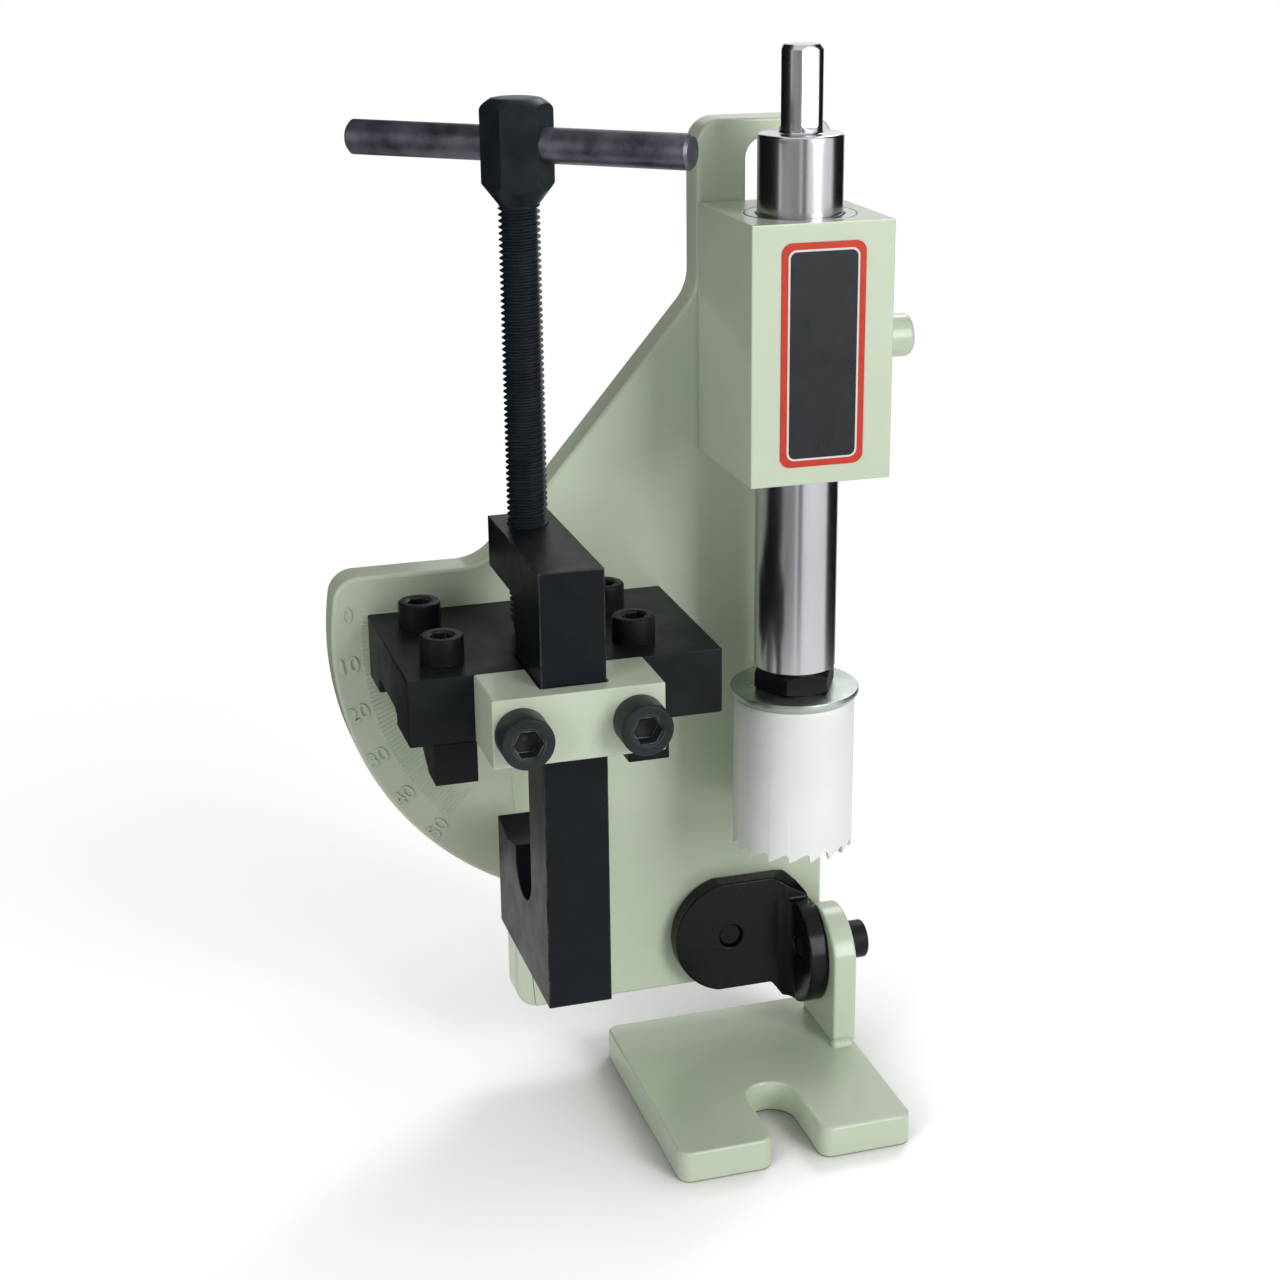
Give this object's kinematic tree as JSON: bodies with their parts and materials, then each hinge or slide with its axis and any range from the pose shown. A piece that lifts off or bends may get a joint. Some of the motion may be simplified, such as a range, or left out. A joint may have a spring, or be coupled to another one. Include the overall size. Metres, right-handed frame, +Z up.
{
  "type": "tube notcher",
  "caption": "Bench tube notcher: hole saw on a sliding, turning spindle in a block, over a swinging V-jaw tube vise with a screw-drawn clamp frame, on a plate with a two-way knuckle base.",
  "frame": {"origin": "middle of the base plate's underside, on the bench", "axes": "+X to the right seen from the front, +Y to the back, +Z up along the spindle"},
  "size_m": [0.1754, 0.1203, 0.337],
  "materials": {
    "paint": "smooth gloss",
    "black_gloss": "black gloss",
    "black_steel": "black oxide, satin",
    "zinc": "zinc plated",
    "bearing_steel": "drawn, oiled",
    "ground_steel": "ground and polished",
    "label_red": "gloss",
    "white_paint": "satin"
  },
  "bodies": {
    "base": {"base_plate": "paint", "base_ear": "paint"},
    "knuckle": {"knuckle_bracket": "black_gloss", "tilt_bolt": "black_steel", "swivel_bolt": "black_steel", "swivel_washer": "zinc"},
    "plate": {"main_plate": "paint"},
    "vise": {"jaw_arm": "black_steel", "v_insert_left": "black_steel", "v_insert_right": "black_steel", "insert_screws": "black_steel", "bar_retainer": "paint", "retainer_screws": "black_steel", "pivot_bolt": "black_steel", "pivot_washer": "zinc", "lock_bolt": "black_steel", "lock_washer": "zinc"},
    "clamp": {"clamp_frame": "black_steel"},
    "screw": {"clamp_screw": "black_steel"},
    "bar": {"sliding_bar": "black_steel"},
    "block": {"spindle_block": "paint", "bearing_cup_upper": "bearing_steel", "bearing_cup_lower": "bearing_steel", "grease_plug": "paint", "label_plate": "label_red", "block_bolts": "black_steel", "block_washers": "zinc"},
    "cages": {"needle_cage_upper": "bearing_steel", "needle_cage_lower": "bearing_steel", "needles_upper": "ground_steel", "needles_lower": "ground_steel"},
    "spindle": {"spindle": "ground_steel", "arbor_nut": "black_steel", "saw_flange": "zinc", "saw_cup": "white_paint"}
  },
  "joints": [
    {"name": "base_tilt", "type": "hinge", "parent": "base", "child": "knuckle", "pos_m": [0.0345, 0.0225, 0.0402], "axis": [1, 0, 0], "range_deg": [0, 30]},
    {"name": "plate_turn", "type": "hinge", "parent": "knuckle", "child": "plate", "pos_m": [0.0023, 0.0365, 0.0441], "axis": [0, 1, 0], "range_deg": [-12, 20]},
    {"name": "vise_swing", "type": "hinge", "parent": "plate", "child": "vise", "pos_m": [-0.028, 0.0365, 0.1585], "axis": [0, -1, 0], "range_deg": [0, 42]},
    {"name": "screw_turn", "type": "hinge", "parent": "vise", "child": "screw", "pos_m": [-0.0695, 0.0065, 0.1685], "axis": [0, 0, 1], "range_deg": [-7400, 2460]},
    {"name": "frame_lift", "type": "slide", "parent": "vise", "child": "clamp", "axis": [0, 0, 1], "range_m": [-0.012, 0.036]},
    {"name": "bar_slide", "type": "slide", "parent": "screw", "child": "bar", "axis": [0.766, -0.6428, 0], "range_m": [-0.038, 0.038]},
    {"name": "block_slide", "type": "slide", "parent": "plate", "child": "block", "axis": [0, 0, 1], "range_m": [-0.008, 0.03]},
    {"name": "spindle_spin", "type": "hinge", "parent": "block", "child": "cages", "pos_m": [0.015, 0.0065, 0.212], "axis": [0, 0, 1], "continuous": true},
    {"name": "spindle_feed", "type": "slide", "parent": "cages", "child": "spindle", "axis": [0, 0, 1], "range_m": [-0.01, 0.06]}
  ],
  "couplings": [
    {"joint": "frame_lift", "follows": "screw_turn", "m_per_rad": -0.00027852}
  ]
}
